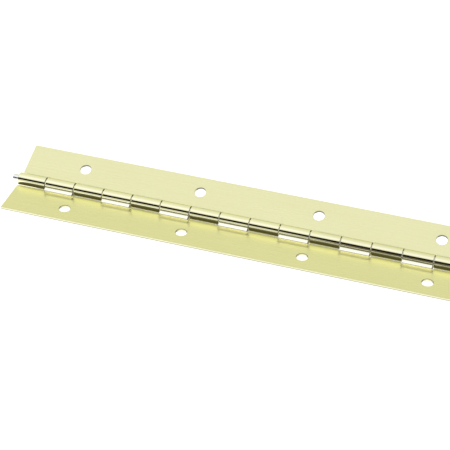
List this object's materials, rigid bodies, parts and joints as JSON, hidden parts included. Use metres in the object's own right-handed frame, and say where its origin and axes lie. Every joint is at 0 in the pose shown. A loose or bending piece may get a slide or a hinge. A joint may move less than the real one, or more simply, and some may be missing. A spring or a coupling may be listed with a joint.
{
  "type": "piano hinge",
  "caption": "Continuous hinge: two long flat leaves with interleaved curled knuckles on one full-length pin, and a row of plain screw holes in each leaf.",
  "frame": {"origin": "centre of the front leaf's row of screw holes, on its mounting face", "axes": "+X along the pin, towards the end where the pin is recessed; +Z out of the front leaf on the side of the barrel; +Y from the front leaf towards the rear leaf"},
  "size_m": [0.3072, 0.0379, 0.0076],
  "materials": {
    "brass_plate": "brass-plated steel sheet, satin with fine rolling lines",
    "steel_wire": "bright drawn steel wire with sheared ends"
  },
  "bodies": {
    "front_leaf": {"front_leaf": "brass_plate"},
    "rear_leaf": {"rear_leaf": "brass_plate"},
    "pin": {"hinge_pin": "steel_wire"}
  },
  "joints": [
    {"name": "leaf_fold", "type": "hinge", "parent": "front_leaf", "child": "rear_leaf", "pos_m": [0, 0.0117, 0.0027], "axis": [1, 0, 0], "range_deg": [-88, 160]},
    {"name": "pin_turn", "type": "hinge", "parent": "front_leaf", "child": "pin", "pos_m": [0, 0.0117, 0.0027], "axis": [1, 0, 0], "continuous": true}
  ]
}
